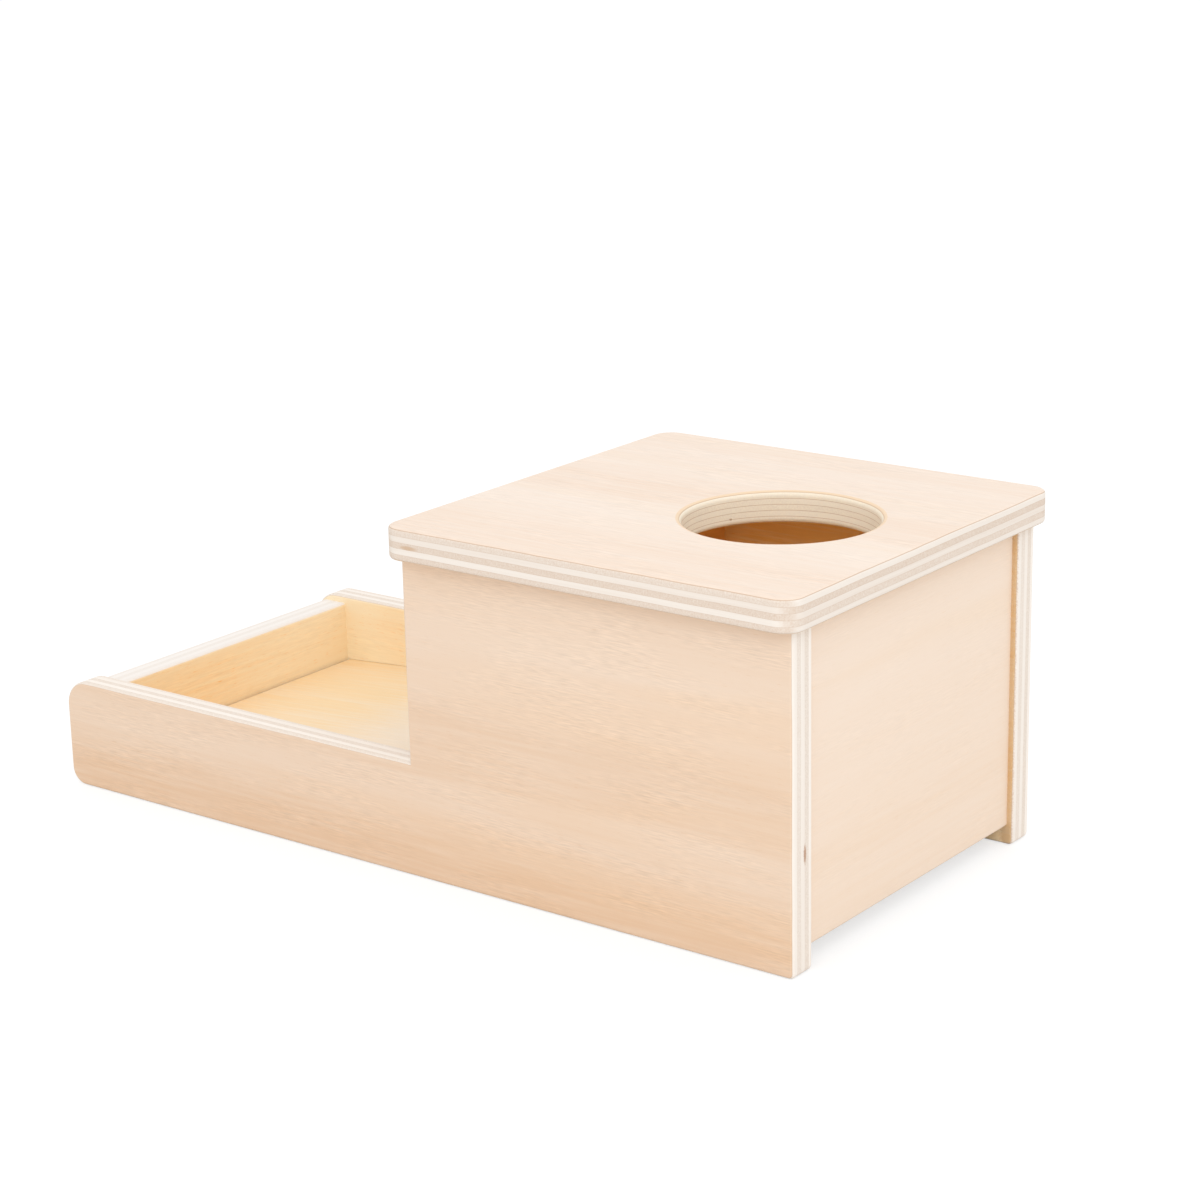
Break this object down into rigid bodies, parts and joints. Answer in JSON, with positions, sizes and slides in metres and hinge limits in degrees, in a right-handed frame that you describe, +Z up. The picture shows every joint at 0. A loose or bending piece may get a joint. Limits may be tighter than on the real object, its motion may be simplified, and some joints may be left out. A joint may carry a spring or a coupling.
{
  "type": "object permanence box",
  "caption": "Plywood toy box with a round hole in its lid, a sloping floor and an open tray: a dropped ball vanishes, rolls down the floor and comes out into the tray.",
  "frame": {"origin": "centre of the overall box at its lowest level, on the table", "axes": "+X from the tray's free end to the box's end wall, +Y from the front side panel to the back one, +Z up"},
  "size_m": [0.2622, 0.13, 0.1005],
  "materials": {
    "plywood": "sanded pale plywood, bare or with a thin clear matt oil",
    "thin_plywood": "sanded pale plywood, bare or with a thin clear matt oil",
    "dowel_wood": "plain turned hardwood"
  },
  "bodies": {
    "root": {"front_side": "plywood", "back_side": "plywood", "lid": "plywood", "end_wall": "plywood", "mouth_header": "plywood", "tray_end": "plywood", "floor_panel": "thin_plywood", "lid_dowels": "dowel_wood", "end_wall_dowels": "dowel_wood", "header_dowels": "dowel_wood", "tray_end_dowels": "dowel_wood"}
  },
  "joints": []
}
